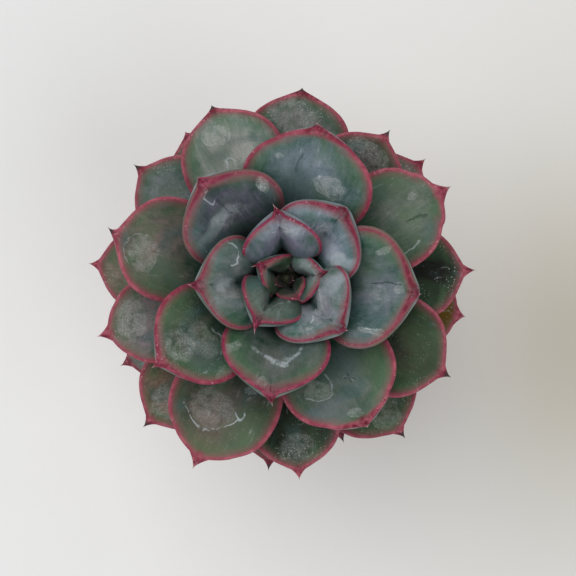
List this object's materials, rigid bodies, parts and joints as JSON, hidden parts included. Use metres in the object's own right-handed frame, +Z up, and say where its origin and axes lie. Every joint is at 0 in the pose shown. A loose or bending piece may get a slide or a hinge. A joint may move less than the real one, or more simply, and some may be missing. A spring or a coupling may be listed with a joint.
{
  "type": "potted echeveria",
  "caption": "Rosette succulent with thick pointed blue-green leaves edged in crimson, growing on a short stem in a plain clay flowerpot.",
  "frame": {"origin": "middle of the pot's foot, on the surface that the pot stands on", "axes": "+Z up along the pot's axis; +X and +Y level, with +Y towards the top of the view from above"},
  "size_m": [0.1242, 0.1248, 0.1379],
  "materials": {
    "leaf": "powdery bloom over smooth skin, crimson edge",
    "stem": "dry, scarred bark",
    "soil": "loose, gritty potting mix",
    "clay": "unglazed, matt"
  },
  "bodies": {
    "root": {"pot": "clay", "soil": "soil", "stem": "stem", "leaf_00": "leaf", "leaf_01": "leaf", "leaf_02": "leaf", "leaf_03": "leaf", "leaf_04": "leaf", "leaf_05": "leaf", "leaf_06": "leaf", "leaf_07": "leaf", "leaf_08": "leaf", "leaf_09": "leaf", "leaf_10": "leaf", "leaf_11": "leaf", "leaf_12": "leaf", "leaf_13": "leaf", "leaf_14": "leaf", "leaf_15": "leaf", "leaf_16": "leaf", "leaf_17": "leaf", "leaf_18": "leaf", "leaf_19": "leaf", "leaf_20": "leaf", "leaf_21": "leaf", "leaf_22": "leaf", "leaf_23": "leaf", "leaf_24": "leaf", "leaf_25": "leaf", "leaf_26": "leaf", "leaf_27": "leaf", "leaf_28": "leaf", "leaf_29": "leaf", "leaf_30": "leaf", "leaf_31": "leaf", "leaf_32": "leaf", "leaf_33": "leaf", "leaf_34": "leaf", "leaf_35": "leaf", "leaf_36": "leaf", "leaf_37": "leaf", "leaf_38": "leaf", "leaf_39": "leaf"}
  },
  "joints": []
}
